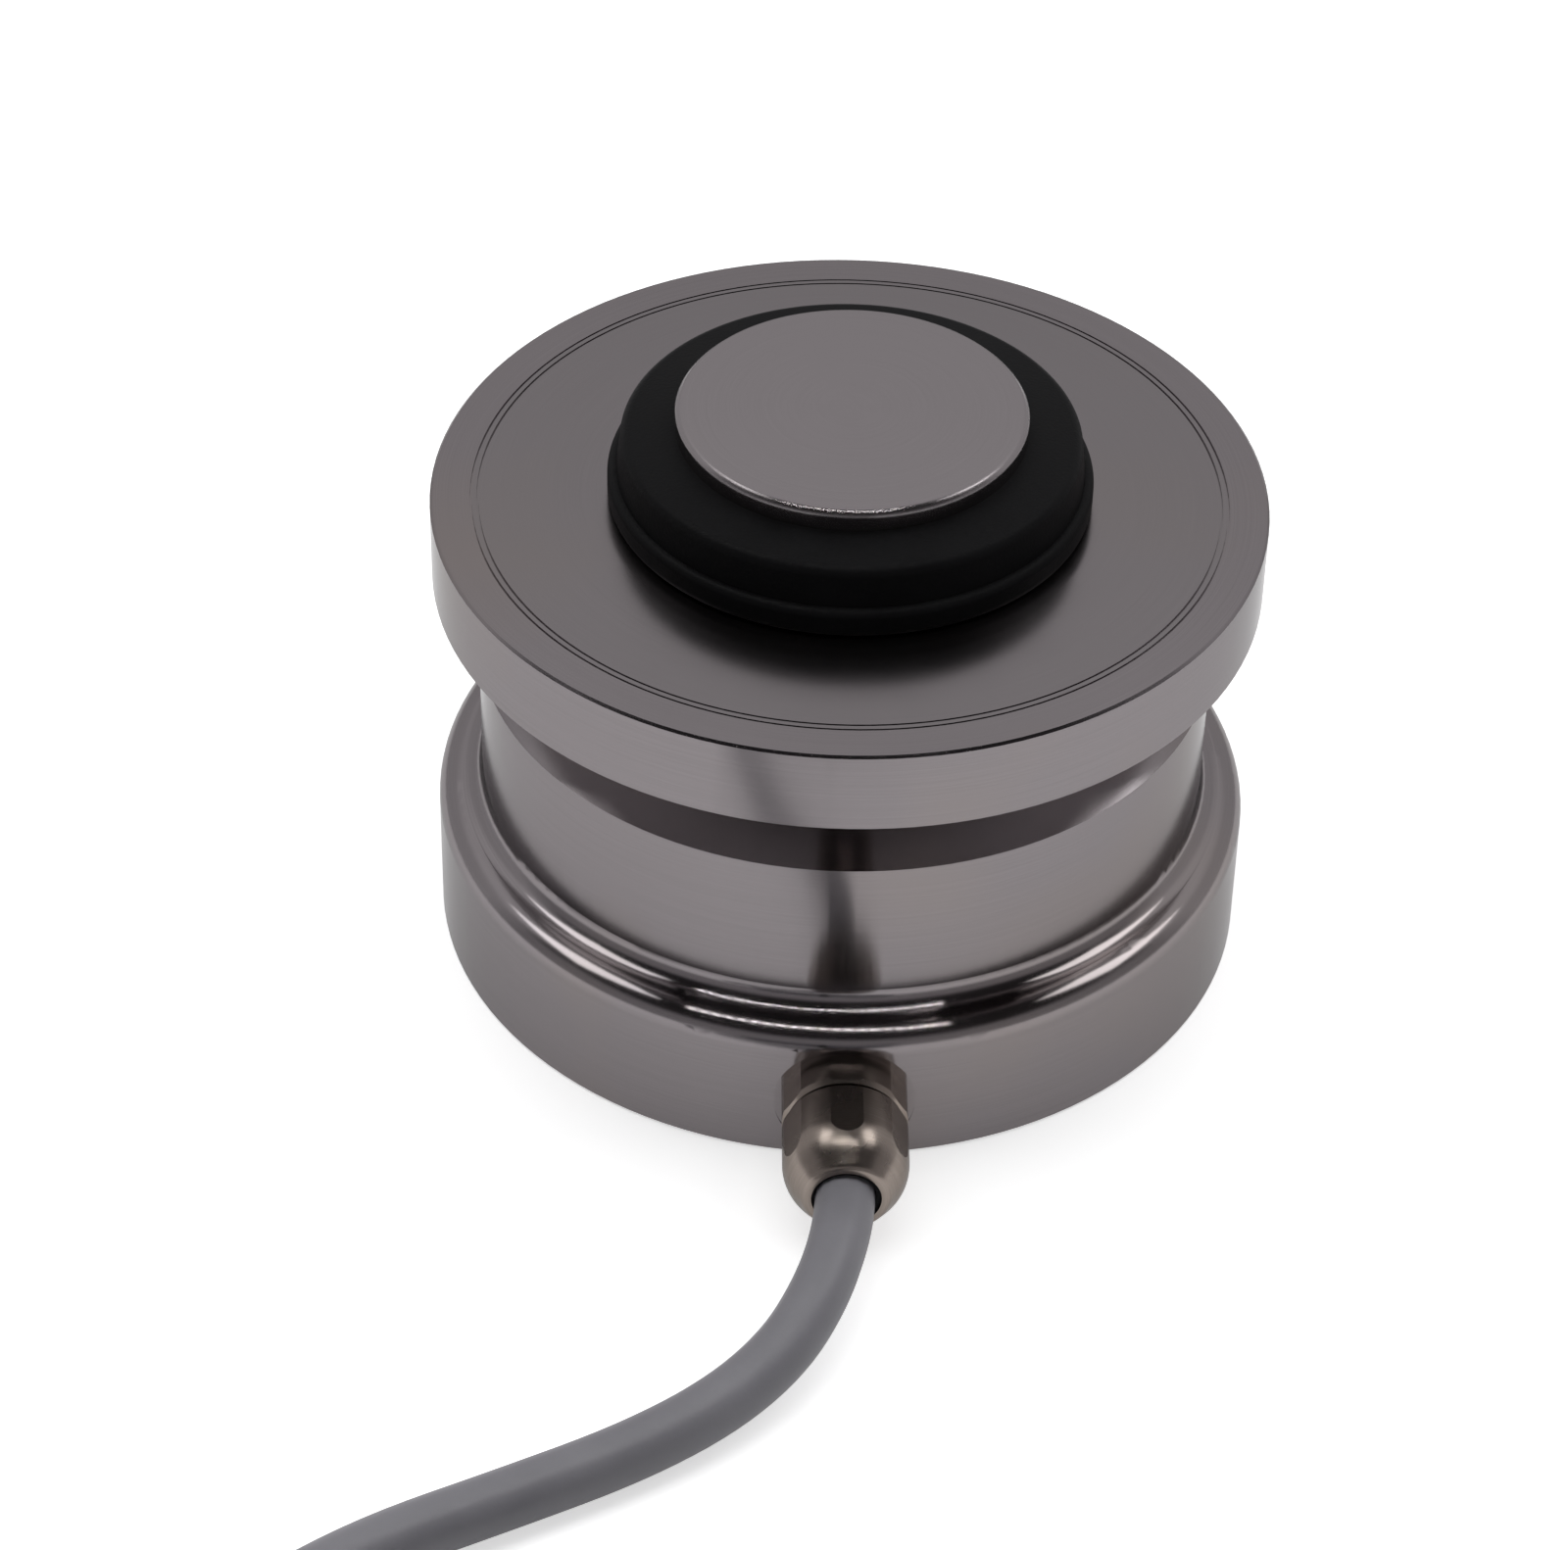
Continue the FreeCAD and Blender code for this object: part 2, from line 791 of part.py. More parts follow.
along_gland(
    turned(
        "gland_clamp",
        [
            (nut_mouth_radius, gland_neck_end),
            (nut_bore, gland_neck_end),
            (nut_bore, clamp_end),
            (nut_mouth_radius, clamp_end),
        ],
    )
)
along_gland(
    turned(
        "gland_seal",
        [
            (d.cable_radius, d.gland_cup_floor),
            (gland_cup_radius, d.gland_cup_floor),
            (gland_cup_radius, gland_neck_end),
            (nut_mouth_radius, gland_neck_end),
            (nut_mouth_radius, mouth - d.seal_nose_inset),
            (d.cable_radius, mouth - d.seal_nose_inset),
        ],
    )
)


# Tubes along a route.

def tube(label, points, radius):
    """A round tube along straight runs joined by tangent arcs, each as large as its runs allow."""
    points = [Vector(*p) for p in points]
    edges = []
    radii = []
    length = 0.0
    last = points[0]
    for before, at, after in zip(points, points[1:], points[2:]):
        run_in, run_out = at - before, after - at
        half_turn = run_in.getAngle(run_out) / 2
        reach = RUN_SHARE * min(run_in.Length, run_out.Length)
        start = at - run_in.normalize() * reach
        end = at + run_out.normalize() * reach
        bend = reach / math.tan(half_turn)
        inward = (start + end - at * 2).normalize()
        middle = at + inward * (bend / math.cos(half_turn) - bend)
        edges.append(Part.LineSegment(last, start).toShape())
        edges.append(Part.Arc(start, middle, end).toShape())
        radii.append(bend)
        length += (start - last).Length + bend * half_turn * 2
        last = end
    edges.append(Part.LineSegment(last, points[-1]).toShape())
    length += (points[-1] - last).Length
    path = Part.Wire(edges)
    end_circle = Part.Wire(Part.Circle(points[0], points[1] - points[0], radius).toShape())
    solid = path.makePipeShell([end_circle], True, True)
    expected = math.pi * radius**2 * length
    if abs(solid.Volume / expected - 1) > VOLUME_SHARE:
        raise RuntimeError(f"{label}: volume {solid.Volume:.1f}, expected {expected:.1f}")
    tightest = ", ".join(f"{r:.1f}" for r in radii)
    print(f"{label}: {length:.1f} mm long, arc radii {tightest}")
    piece = doc.addObject("Part::Feature", label)
    piece.Label = label
    piece.Shape = solid
    return piece


# Cable in the gland.

cable_in_gland = doc.addObject("Part::Cylinder", "cable_in_gland")
bind(cable_in_gland, "Radius", d.cable_radius)
bind(cable_in_gland, "Height", spot_face_reach + mouth - cable_inner_end)
along_gland(cable_in_gland, cable_inner_end - spot_face_reach)

core = d.core_radius.value
core_offset = core * CORE_SPREAD
sheath_end = cable_inner_end.value
for colour, post, side, up in (
    ("red", post_offsets[0], -1, 1),
    ("black", post_offsets[1], -1, -1),
    ("green", post_offsets[2], 1, -1),
    ("white", post_offsets[3], 1, 1),
):
    start_x = side * core_offset
    start_z = d.gland_height.value + up * core_offset
    tube(
        f"inner_wire_{colour}",
        [
            (start_x, -sheath_end, start_z),
            (start_x, -sheath_end + core * 2, start_z),
            (post.value, -post_reach.value, start_z - core / 2),
            (post.value, -post_reach.value, post_bottom.value),
        ],
        core,
    )


# Coil of cable.

# The rest of the cable is wound in a round coil that lies on two ties. Its outline is one
# ring, with the straight stub on which the lead from the gland ends.
outer_turn = d.coil_mid_radius + d.turn_pitch * (d.turns_across - 1) / 2
inner_turn = d.coil_mid_radius - d.turn_pitch * (d.turns_across - 1) / 2
coil_outer = outer_turn + d.cable_radius
coil_inner = inner_turn - d.cable_radius
coil_top = d.tie_thickness + d.turn_pitch * (d.layers_high - 1) + d.cable_radius * 2


def rounded_ring(label, inner, outer, bottom, top, fillet):
    """A ring about Z at the coil's centre, with its four edges rounded."""
    ring = turned(label, [(inner, bottom), (outer, bottom), (outer, top), (inner, top)])
    for i, (radius, height) in enumerate(
        ((inner, bottom), (outer, bottom), (outer, top), (inner, top))
    ):
        soften(ring, f"{label}_edge_{i}", radius, height, fillet)
    bind(ring, "Placement.Base.x", d.coil_centre_x)
    bind(ring, "Placement.Base.y", d.coil_centre_y)
    return ring


coil_ring = rounded_ring(
    "coil_ring", coil_inner, coil_outer, d.tie_thickness, coil_top, d.cable_radius
)
stub = doc.addObject("Part::Cylinder", "coil_stub")
bind(stub, "Radius", d.cable_radius)
bind(stub, "Height", d.coil_lead_in)
stub.Placement.Rotation = FreeCAD.Rotation(ALONG_X, -90)
bind(stub, "Placement.Base.x", d.coil_centre_x - outer_turn)
bind(stub, "Placement.Base.y", d.coil_centre_y)
bind(stub, "Placement.Base.z", d.tie_thickness + d.cable_radius)
coil = doc.addObject("Part::Fuse", "cable_coil")
coil.Base = coil_ring
coil.Tool = stub

tie_skin = rounded_ring(
    "tie_skin",
    coil_inner - d.tie_thickness,
    coil_outer + d.tie_thickness,
    ZERO,
    coil_top + d.tie_thickness,
    d.cable_radius + d.tie_thickness,
)
tie_band = doc.addObject("Part::Cut", "tie_band")
tie_band.Base = tie_skin
tie_band.Tool = coil_ring
head_height = (coil_top + d.tie_thickness) / 2 - d.tie_head / 2
for number, turn in enumerate(TIE_TURNS, start=1):
    angle = math.radians(turn)
    window = doc.addObject("Part::Box", f"tie_window_{number}")
    bind(window, "Length", coil_outer + d.tie_thickness * 2)
    bind(window, "Width", d.tie_width)
    bind(window, "Height", coil_top + d.tie_thickness * 2)
    half_width = d.tie_width / 2
    bind(window, "Placement.Base.x", d.coil_centre_x + half_width * math.sin(angle))
    bind(window, "Placement.Base.y", d.coil_centre_y - half_width * math.cos(angle))
    bind(window, "Placement.Base.z", -d.tie_thickness / 2)
    window.Placement.Rotation = FreeCAD.Rotation(UP, turn)
    band = doc.addObject("Part::Common", f"tie_loop_{number}")
    band.Base = tie_band
    band.Tool = window
    head = box(
        f"tie_head_{number}",
        d.tie_head / 2,
        d.tie_head,
        d.tie_head,
        turn,
        coil_outer + d.tie_thickness / 2 + d.tie_head / 4,
        head_height,
    )
    bind(
        head,
        "Placement.Base.x",
        d.coil_centre_x
        + (coil_outer + d.tie_thickness / 2) * math.cos(angle)
        + d.tie_head / 2 * math.sin(angle),
    )
    bind(
        head,
        "Placement.Base.y",
        d.coil_centre_y
        + (coil_outer + d.tie_thickness / 2) * math.sin(angle)
        - d.tie_head / 2 * math.cos(angle),
    )
    tie = doc.addObject("Part::Fuse", f"coil_tie_{number}")
    tie.Base = band
    tie.Tool = head
doc.recompute()


# Lead and tail.

cable = d.cable_radius.value
tube(
    "cable_lead",
    [
        (0.0, -(spot_face_reach + mouth).value, d.gland_height.value),
        (0.0, -73.9, 8.5),
        (-2.7, -81.9, 7.5),
        (-7.4, -88.9, 5.6),
        (-14.4, -95.3, 4.2),
        (-24.4, -101.3, 3.5),
        (-37.5, -108.0, 3.5),
        (-52.5, -115.3, 3.5),
        (-64.2, -124.3, 3.6),
        (-72.0, -135.5, 3.8),
        (-76.0, -148.0, 4.1),
        (-75.5, -162.0, 4.4),
        (
            (d.coil_centre_x - outer_turn).value,
            (d.coil_centre_y + d.coil_lead_in).value,
            (d.tie_thickness + d.cable_radius).value,
        ),
    ],
    cable,
)


def on_coil(turn, radius, height):
    """A place on the coil, by its turn and radius about the coil's centre."""
    angle = math.radians(turn)
    return (
        d.coil_centre_x.value + radius * math.cos(angle),
        d.coil_centre_y.value + radius * math.sin(angle),
        height,
    )


# The tail climbs from the last turn and lies on the coil. The coil takes away what would
# lie inside it.
tail_height = coil_top.value + cable + d.sleeve_thickness.value + d.rest_gap.value
tail_points = [
    on_coil(283, outer_turn.value - 2.5, coil_top.value - cable),
    on_coil(300, outer_turn.value - 6.0, coil_top.value + 0.4),
    on_coil(317, outer_turn.value - 9.0, tail_height - 0.8),
    on_coil(334, outer_turn.value - 10.0, tail_height),
    on_coil(351, outer_turn.value - 10.0, tail_height),
]
tail_tube = tube("tail_tube", tail_points, cable)
tail = doc.addObject("Part::Cut", "cable_tail")
tail.Base = tail_tube
tail.Tool = coil_ring

tail_end = Vector(*tail_points[-1])
tail_way = (tail_end - Vector(*tail_points[-2])).normalize()
facing = FreeCAD.Rotation(UP, tail_way)


def rod_along(label, radius, length, start, way):
    """A round rod from a point along a direction."""
    piece = doc.addObject("Part::Cylinder", label)
    piece.Label = label
    bind(piece, "Radius", radius)
    bind(piece, "Height", length)
    piece.Placement = FreeCAD.Placement(start, FreeCAD.Rotation(UP, way))
    return piece


sleeve_start = tail_end - tail_way * d.sleeve_grip.value
sleeve = doc.addObject("Part::Cut", "end_sleeve")
sleeve.Base = rod_along(
    "sleeve_outside",
    d.cable_radius + d.sleeve_thickness,
    d.sleeve_length,
    sleeve_start,
    tail_way,
)
sleeve.Tool = rod_along("sleeve_inside", d.cable_radius, d.sleeve_grip, sleeve_start, tail_way)

# Five leads come out of the sleeve, spread over the coil and end in ferrules.
lead_colours = ("red", "black", "green", "white", "screen")
sleeve_end = sleeve_start + tail_way * d.sleeve_length.value
sideways = tail_way.cross(UP)
lead_height = coil_top.value + d.ferrule_radius.value + d.rest_gap.value
ferrules = []
for i, colour in enumerate(lead_colours):
    place = i - (len(lead_colours) - 1) / 2
    lift = core * LEAD_LIFT if i % 2 else -core * LEAD_LIFT
    start = sleeve_end + sideways * place * core * LEAD_SPREAD + UP * lift
    first = start + tail_way * core * 4
    route = [
        tuple(start),
        tuple(first),
        on_coil(11, outer_turn.value - 8.0 + place * 3.0, lead_height + 1.0),
        on_coil(22, outer_turn.value - 9.0 + place * 4.2, lead_height),
        on_coil(33, outer_turn.value - 10.0 + place * 4.8, lead_height),
    ]
    tube(f"lead_{colour}", route, core)
    end = Vector(*route[-1])
    way = (end - Vector(*route[-2])).normalize()
    ferrules.append(rod_along(f"ferrule_{colour}", d.ferrule_radius, d.ferrule_length, end, way))
group("lead_ferrules", ferrules)


# Checks and files.

NODES = [
    "measuring_body",
    "top_cover",
    "bottom_cover",
    "load_button",
    "button_o_ring",
    "rubber_collar",
    "upper_strain_gauges",
    "lower_strain_gauges",
    "upper_gauge_wires",
    "lower_gauge_wires",
    "riser_wires",
    "circuit_board",
    "trim_resistors",
    "solder_posts",
    "inner_wire_red",
    "inner_wire_black",
    "inner_wire_green",
    "inner_wire_white",
    "gland_body",
    "gland_o_ring",
    "gland_clamp",
    "gland_seal",
    "gland_nut",
    "cable_in_gland",
    "cable_lead",
    "cable_coil",
    "coil_tie_1",
    "coil_tie_2",
    "cable_tail",
    "end_sleeve",
    "lead_red",
    "lead_black",
    "lead_green",
    "lead_white",
    "lead_screen",
    "lead_ferrules",
]

doc.recompute()
for thing in doc.Objects:
    if "Invalid" in thing.State or "Error" in thing.State:
        raise RuntimeError(f"{thing.Label} failed: {thing.State}")
pieces = {thing.Label: thing for thing in doc.Objects}
for node in NODES:
    shape = pieces[node].Shape
    if shape.isNull() or not shape.isValid() or shape.Volume <= 0:
        raise RuntimeError(f"{node} has no valid solid")
for node in NODES:
    pieces[node].Shape.exportStep(f"parts/{node}.step")
print(f"{len(NODES)} pieces written")
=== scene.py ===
import math
import bpy
from mathutils import Matrix, Vector


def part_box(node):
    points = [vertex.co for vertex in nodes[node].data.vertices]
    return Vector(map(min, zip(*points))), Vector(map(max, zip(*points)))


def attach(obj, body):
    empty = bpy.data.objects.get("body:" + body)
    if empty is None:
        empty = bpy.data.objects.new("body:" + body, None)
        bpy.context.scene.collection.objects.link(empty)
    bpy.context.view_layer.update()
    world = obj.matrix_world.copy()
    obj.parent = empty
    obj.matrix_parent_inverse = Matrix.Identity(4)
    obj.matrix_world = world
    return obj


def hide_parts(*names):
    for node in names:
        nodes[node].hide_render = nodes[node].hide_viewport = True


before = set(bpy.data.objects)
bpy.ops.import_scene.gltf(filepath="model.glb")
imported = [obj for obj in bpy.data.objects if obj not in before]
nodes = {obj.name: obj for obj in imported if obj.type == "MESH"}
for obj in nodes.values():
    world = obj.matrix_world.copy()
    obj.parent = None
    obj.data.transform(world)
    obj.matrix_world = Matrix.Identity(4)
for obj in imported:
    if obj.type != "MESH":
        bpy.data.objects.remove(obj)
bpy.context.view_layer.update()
print("load cell frame is in")

# the camera looks down on the cell from the side with the cable gland
cameraView = {
    "place": (-0.01607, -0.46853, 0.4046),
    "heading": -1.1,  # degrees from straight ahead, positive towards -X
    "downward": 39.563,
    "roll": 1.3054,
    "lens": 111.72,
    "sensor": 36,
    "clipStart": 0.01,
}


def addCamera(view):
    data = bpy.data.cameras.new("productCamera")
    data.lens = view["lens"]
    data.sensor_width = view["sensor"]
    data.sensor_fit = "HORIZONTAL"
    data.clip_start = view["clipStart"]
    camera = bpy.data.objects.new("productCamera", data)
    bpy.context.scene.collection.objects.link(camera)
    camera.matrix_world = (
        Matrix.Translation(view["place"])
        @ Matrix.Rotation(math.radians(view["heading"]), 4, "Z")
        @ Matrix.Rotation(math.radians(90 - view["downward"]), 4, "X")
        @ Matrix.Rotation(math.radians(view["roll"]), 4, "Z")
    )
    bpy.context.scene.camera = camera


addCamera(cameraView)
print("camera stands")


# the owner of a node is a material, a world or a lamp's data

def setInputs(owner, node, inputs):
    for socket, value in inputs.items():
        if isinstance(value, bpy.types.NodeSocket):
            owner.node_tree.links.new(value, node.inputs[socket])
        else:
            node.inputs[socket].default_value = value


def addNode(owner, kind, inputs=None, **settings):
    node = owner.node_tree.nodes.new(kind)
    for key, value in settings.items():
        setattr(node, key, value)
    setInputs(owner, node, inputs or {})
    return node


def calculate(owner, operation, *values):
    node = addNode(owner, "ShaderNodeMath", dict(enumerate(values)), operation=operation)
    return node.outputs[0]


def vectorMath(owner, operation, *values, result="Vector", **named):
    inputs = {**dict(enumerate(values)), **named}
    return addNode(owner, "ShaderNodeVectorMath", inputs, operation=operation).outputs[result]


def mixColours(owner, factor, first, second):
    # inputs 6 and 7 and output 2 are the colour sockets of a Mix node
    first, second = (
        colour if isinstance(colour, bpy.types.NodeSocket) else (*colour, 1)
        for colour in (first, second)
    )
    mix = addNode(owner, "ShaderNodeMix", {0: factor, 6: first, 7: second}, data_type="RGBA")
    return mix.outputs[2]


def spread(owner, source, low, high, fromLow=0.3, fromHigh=0.7):
    # the default range is where most of a noise texture's values lie
    ranged = addNode(
        owner, "ShaderNodeMapRange",
        {"Value": source, "From Min": fromLow, "From Max": fromHigh, "To Min": low, "To Max": high},
    )
    return ranged.outputs["Result"]


def cloudy(mat, place, scale, detail, roughness):
    noise = addNode(
        mat, "ShaderNodeTexNoise",
        {"Vector": place, "Scale": scale, "Detail": detail, "Roughness": roughness},
    )
    return noise.outputs["Fac"]


def bumpFrom(mat, height, depth, normal=None):
    inputs = {"Height": height, "Distance": depth, "Strength": 1.0}
    if normal is not None:
        inputs["Normal"] = normal
    return addNode(mat, "ShaderNodeBump", inputs).outputs["Normal"]


def objectPlace(mat):
    return addNode(mat, "ShaderNodeTexCoord").outputs["Object"]


def makeMaterial(name):
    mat = bpy.data.materials.new(name)
    mat.use_nodes = True
    return mat


def finishMaterial(mat, inputs):
    setInputs(mat, mat.node_tree.nodes["Principled BSDF"], inputs)


# turned and plated metal: "edge" is the tint at grazing angles, and the marks are the lathe's
steelLook = {
    "dark": (0.240, 0.2205, 0.2265),
    "light": (0.275, 0.2525, 0.2605),
    "warm": (0.275, 0.243, 0.233),
    "roughness": (0.110, 0.135),
    "marksPerMetre": 6500,
    "markDepth": 0.0000015,
    "anisotropy": 1.0,
    "edge": 0.70,
}
coverLook = {
    "dark": (0.234, 0.2165, 0.2215),
    "light": (0.252, 0.2330, 0.2385),
    "warm": (0.250, 0.226, 0.222),
    "roughness": (0.17, 0.21),
    "marksPerMetre": 5000,
    "markDepth": 0.000001,
    "anisotropy": 0.5,
    "edge": 0.85,
}
buttonLook = {
    "dark": (0.290, 0.2675, 0.2735),
    "light": (0.308, 0.2850, 0.2920),
    "warm": (0.305, 0.277, 0.273),
    "roughness": (0.18, 0.22),
    "marksPerMetre": 6000,
    "markDepth": 0.000001,
    "anisotropy": 0.4,
    "edge": 0.85,
    "softEdge": 0.0005,  # edges catch the light as if they were rounded this much
}
nickelLook = {
    "dark": (0.255, 0.215, 0.188),
    "light": (0.335, 0.290, 0.258),
    "warm": (0.290, 0.225, 0.168),
    "roughness": (0.20, 0.29),
    "marksPerMetre": 9000,
    "markDepth": 0.000001,
    "anisotropy": 0.3,
    "edge": 0.75,
}
turning = {
    "glintTurn": 0.25,  # a quarter turn, so the glints stretch across the marks
    "drift": 1.6,  # how much a mark changes on its way round
    "lineDetail": 2.0,
    "lineRoughness": 0.6,
    "lineRange": (0.25, 0.75),
    "smudges": (55, 4, 0.6),  # scale, detail and roughness of the noise
    "stains": (21, 2, 0.5),
    "stainRange": (0.5, 0.72),
    "stainShare": 0.8,
    "edgeSamples": 8,
}


def turnedMetal(name, look, axis=(0, 0, 1), centre=(0, 0, 0)):
    # the marks run round the axis and change with the radius and the height
    mat = makeMaterial(name)
    place = vectorMath(mat, "SUBTRACT", objectPlace(mat), centre)
    around = vectorMath(mat, "CROSS_PRODUCT", axis, place)
    tangent = vectorMath(mat, "NORMALIZE", around)
    radius = vectorMath(mat, "LENGTH", around, result="Value")
    along = vectorMath(mat, "DOT_PRODUCT", place, axis, result="Value")
    turn = vectorMath(mat, "SCALE", tangent, Scale=turning["drift"])
    out = calculate(mat, "MULTIPLY", radius, look["marksPerMetre"])
    height = calculate(mat, "MULTIPLY", along, look["marksPerMetre"])
    across = addNode(mat, "ShaderNodeCombineXYZ", {0: out, 1: out, 2: height}).outputs[0]
    lines = addNode(
        mat, "ShaderNodeTexNoise",
        {"Vector": vectorMath(mat, "ADD", turn, across), "W": height, "Scale": 1.0,
         "Detail": turning["lineDetail"], "Roughness": turning["lineRoughness"]},
        noise_dimensions="4D",
    ).outputs["Fac"]
    smudges = cloudy(mat, place, *turning["smudges"])
    stains = cloudy(mat, place, *turning["stains"])
    tones = mixColours(mat, spread(mat, lines, 0, 1, *turning["lineRange"]), look["dark"], look["light"])
    stained = spread(mat, stains, 0, turning["stainShare"], *turning["stainRange"])
    rounded = None
    if "softEdge" in look:
        rounded = addNode(
            mat, "ShaderNodeBevel", {"Radius": look["softEdge"]}, samples=turning["edgeSamples"]
        ).outputs["Normal"]
    finishMaterial(mat, {
        "Metallic": 1.0,
        "Anisotropic": look["anisotropy"],
        "Anisotropic Rotation": turning["glintTurn"],
        "Specular Tint": (look["edge"], look["edge"], look["edge"], 1),
        "Base Color": mixColours(mat, stained, tones, look["warm"]),
        "Roughness": spread(mat, smudges, *look["roughness"]),
        "Normal": bumpFrom(mat, lines, look["markDepth"], rounded),
        "Tangent": tangent,
    })
    return mat


# plain finishes: grain and drift are the scale, detail and roughness of their noise
rubber = {
    "shader": {"Specular IOR Level": 0.08},
    "grain": (2600, 2, 0.55),
    "grainDepth": 0.00003,
    "drift": (70, 5, 0.65),
}
plastic = {
    "shader": {},
    "grain": (1800, 3, 0.55),
    "grainDepth": 0.00002,
    "drift": (90, 4, 0.6),
}
tinned = {
    "shader": {"Metallic": 1.0},
    "grain": (400, 4, 0.6),
    "grainDepth": 0.00001,
    "drift": (400, 4, 0.6),
}
# name, kind, dark tone, light tone, roughness and the pieces that have it
plainFinishes = [
    ("collarRubber", rubber, (0.0030, 0.0030, 0.0033), (0.0055, 0.0055, 0.006), (0.46, 0.62),
     ["rubber_collar"]),
    ("sealRubber", rubber, (0.004, 0.004, 0.0045), (0.009, 0.009, 0.0095), (0.46, 0.62),
     ["button_o_ring", "gland_o_ring", "gland_seal"]),
    ("clampNylon", plastic, (0.012, 0.012, 0.013), (0.02, 0.02, 0.021), (0.36, 0.5),
     ["gland_clamp"]),
    ("gaugeFilm", plastic, (0.42, 0.25, 0.07), (0.55, 0.36, 0.12), (0.25, 0.4),
     ["upper_strain_gauges", "lower_strain_gauges"]),
    ("wireEnamel", plastic, (0.4, 0.13, 0.05), (0.55, 0.2, 0.08), (0.25, 0.35),
     ["upper_gauge_wires", "lower_gauge_wires", "riser_wires"]),
    ("boardLacquer", plastic, (0.02, 0.12, 0.05), (0.03, 0.16, 0.065), (0.25, 0.35),
     ["circuit_board"]),
    ("resistorBody", plastic, (0.02, 0.02, 0.022), (0.03, 0.03, 0.034), (0.36, 0.5),
     ["trim_resistors"]),
    ("tinnedCopper", tinned, (0.5, 0.49, 0.47), (0.62, 0.61, 0.59), (0.2, 0.32),
     ["solder_posts", "lead_ferrules"]),
    ("tieNylon", plastic, (0.012, 0.012, 0.013), (0.022, 0.022, 0.024), (0.3, 0.42),
     ["coil_tie_1", "coil_tie_2"]),
    ("shrinkSleeve", plastic, (0.010, 0.010, 0.011), (0.018, 0.018, 0.020), (0.4, 0.52),
     ["end_sleeve"]),
    ("redInsulation", plastic, (0.42, 0.018, 0.014), (0.52, 0.028, 0.022), (0.28, 0.4),
     ["lead_red", "inner_wire_red"]),
    ("blackInsulation", plastic, (0.010, 0.010, 0.011), (0.018, 0.018, 0.020), (0.28, 0.4),
     ["lead_black", "inner_wire_black"]),
    ("greenInsulation", plastic, (0.016, 0.21, 0.06), (0.026, 0.28, 0.085), (0.28, 0.4),
     ["lead_green", "inner_wire_green"]),
    ("whiteInsulation", plastic, (0.60, 0.59, 0.56), (0.72, 0.71, 0.68), (0.28, 0.4),
     ["lead_white", "inner_wire_white"]),
    ("screenSleeve", plastic, (0.42, 0.38, 0.05), (0.55, 0.5, 0.08), (0.3, 0.42),
     ["lead_screen"]),
]


def plainFinish(name, kind, dark, light, roughness):
    mat = makeMaterial(name)
    place = objectPlace(mat)
    grain = cloudy(mat, place, *kind["grain"])
    drift = cloudy(mat, place, *kind["drift"])
    finishMaterial(mat, {
        **kind["shader"],
        "Base Color": mixColours(mat, spread(mat, drift, 0, 1), dark, light),
        "Roughness": spread(mat, drift, *roughness),
        "Normal": bumpFrom(mat, grain, kind["grainDepth"]),
    })
    return mat


def dress(mat, *names):
    for name in names:
        node = nodes[name]
        node.data.materials.clear()
        node.data.materials.append(mat)


glandHeight = (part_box("gland_nut")[0].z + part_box("gland_nut")[1].z) / 2
nickelPlate = turnedMetal("nickelPlate", nickelLook, (0, 1, 0), (0, 0, glandHeight))
dress(turnedMetal("turnedSteel", steelLook), "measuring_body")
dress(turnedMetal("groundCover", coverLook), "top_cover", "bottom_cover")
dress(turnedMetal("turnedButton", buttonLook), "load_button")
dress(nickelPlate, "gland_body", "gland_nut")
for *finish, pieces in plainFinishes:
    dress(plainFinish(*finish), *pieces)
print("finishes are on")


# the signal cable: turns are in degrees round the coil's centre, lengths in metres
cable = {
    "diameter": 0.007,
    "length": 5.0,
    "turnPitch": 0.0071,
    "turnsAcross": 4,
    "topLayer": 3,
    "coilCentre": (-0.016, -0.206),
    "outerTurn": 0.0595,
    "bottomTurn": 0.0044,
    "startTurn": 180,
    "windowStart": 300,  # each turn steps to the next place between here and a full turn
    "windowEnd": 360,
    "endTurn": 5670,
    "pointsPerTurn": 24,
    "bulge": 0.0025,
    "splineOrder": 3,
    "steps": 6,
    # from inside the gland, over the floor, to the coil
    "lay": [
        (0, -0.0376, 0.0085),
        (0, -0.0520, 0.0085),
        (0, -0.0661, 0.0085),
        (-0.0010, -0.0734, 0.0085),
        (-0.0032, -0.0806, 0.0076),
        (-0.0072, -0.0876, 0.0056),
        (-0.0142, -0.0946, 0.0042),
        (-0.0244, -0.1013, 0.0035),
        (-0.0375, -0.1080, 0.0035),
        (-0.0525, -0.1153, 0.0035),
        (-0.0642, -0.1243, 0.0036),
        (-0.0720, -0.1355, 0.0038),
        (-0.0760, -0.1480, 0.0041),
        (-0.0755, -0.1620, 0.0044),
        (-0.0755, -0.1750, 0.0044),
        (-0.0755, -0.1910, 0.0044),
    ],
    # turn, radius and height over the top layer
    "tail": [
        (283, 0.0595, 0.0014),
        (294, 0.0575, 0.0055),
        (306, 0.0540, 0.0080),
        (320, 0.0508, 0.0078),
        (335, 0.0496, 0.0077),
        (351, 0.0495, 0.0077),
    ],
    "dark": (0.182, 0.179, 0.196),
    "light": (0.208, 0.204, 0.223),
    "roughness": (0.38, 0.46),
    "grainDepth": 0.000012,
}


def coilPoint(turn, radius, height):
    angle = math.radians(turn)
    centreX, centreY = cable["coilCentre"]
    return (centreX + radius * math.cos(angle), centreY + radius * math.sin(angle), height)


def easeStep(share):
    return share * share * (3 - 2 * share)


